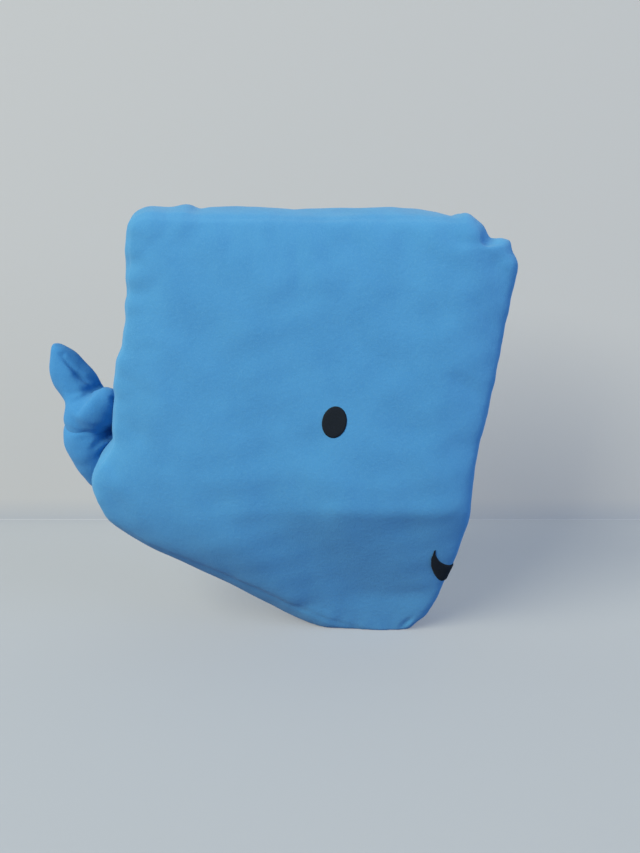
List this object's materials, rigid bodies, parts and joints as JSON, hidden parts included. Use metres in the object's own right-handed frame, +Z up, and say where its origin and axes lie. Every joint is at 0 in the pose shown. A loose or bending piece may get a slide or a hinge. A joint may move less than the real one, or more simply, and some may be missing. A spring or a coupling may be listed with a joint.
{
  "type": "plush whale",
  "caption": "Stuffed whale cushion in soft pile cloth, with seamed body panels, applied eyes and mouth, and a fluked tail that wags and folds.",
  "frame": {"origin": "on the ground, under the middle of the whale's bounding box", "axes": "+X towards the forehead, +Y towards the whale's left side, +Z up; the pictured right side faces -Y"},
  "size_m": [0.4046, 0.1452, 0.3752],
  "materials": {
    "pile_cloth": "short pile, soft sheen",
    "filling": "loose fibre",
    "patch": "matt felt"
  },
  "bodies": {
    "body": {"right_side_panel": "pile_cloth", "left_side_panel": "pile_cloth", "forehead_panel": "pile_cloth", "top_panel": "pile_cloth", "rump_panel": "pile_cloth", "belly_panel": "pile_cloth", "body_filling": "filling", "right_eye": "patch", "left_eye": "patch", "mouth": "patch"},
    "tail_stem": {"tail_stem_right_panel": "pile_cloth", "tail_stem_left_panel": "pile_cloth", "tail_stem_filling": "filling"},
    "flukes": {"upper_fluke_front_panel": "pile_cloth", "upper_fluke_back_panel": "pile_cloth", "upper_fluke_filling": "filling", "lower_fluke_front_panel": "pile_cloth", "lower_fluke_back_panel": "pile_cloth", "lower_fluke_filling": "filling"}
  },
  "joints": [
    {"name": "tail_wag", "type": "hinge", "parent": "body", "child": "tail_stem", "pos_m": [-0.16528, 0, 0.19], "axis": [0, 0, 1], "range_deg": [-20, 20], "stiffness_Nm_per_rad": 0.03},
    {"name": "fluke_fold", "type": "hinge", "parent": "tail_stem", "child": "flukes", "pos_m": [-0.16528, 0, 0.19], "axis": [0.9397, 0, -0.342], "range_deg": [-25, 5], "stiffness_Nm_per_rad": 0.03}
  ]
}
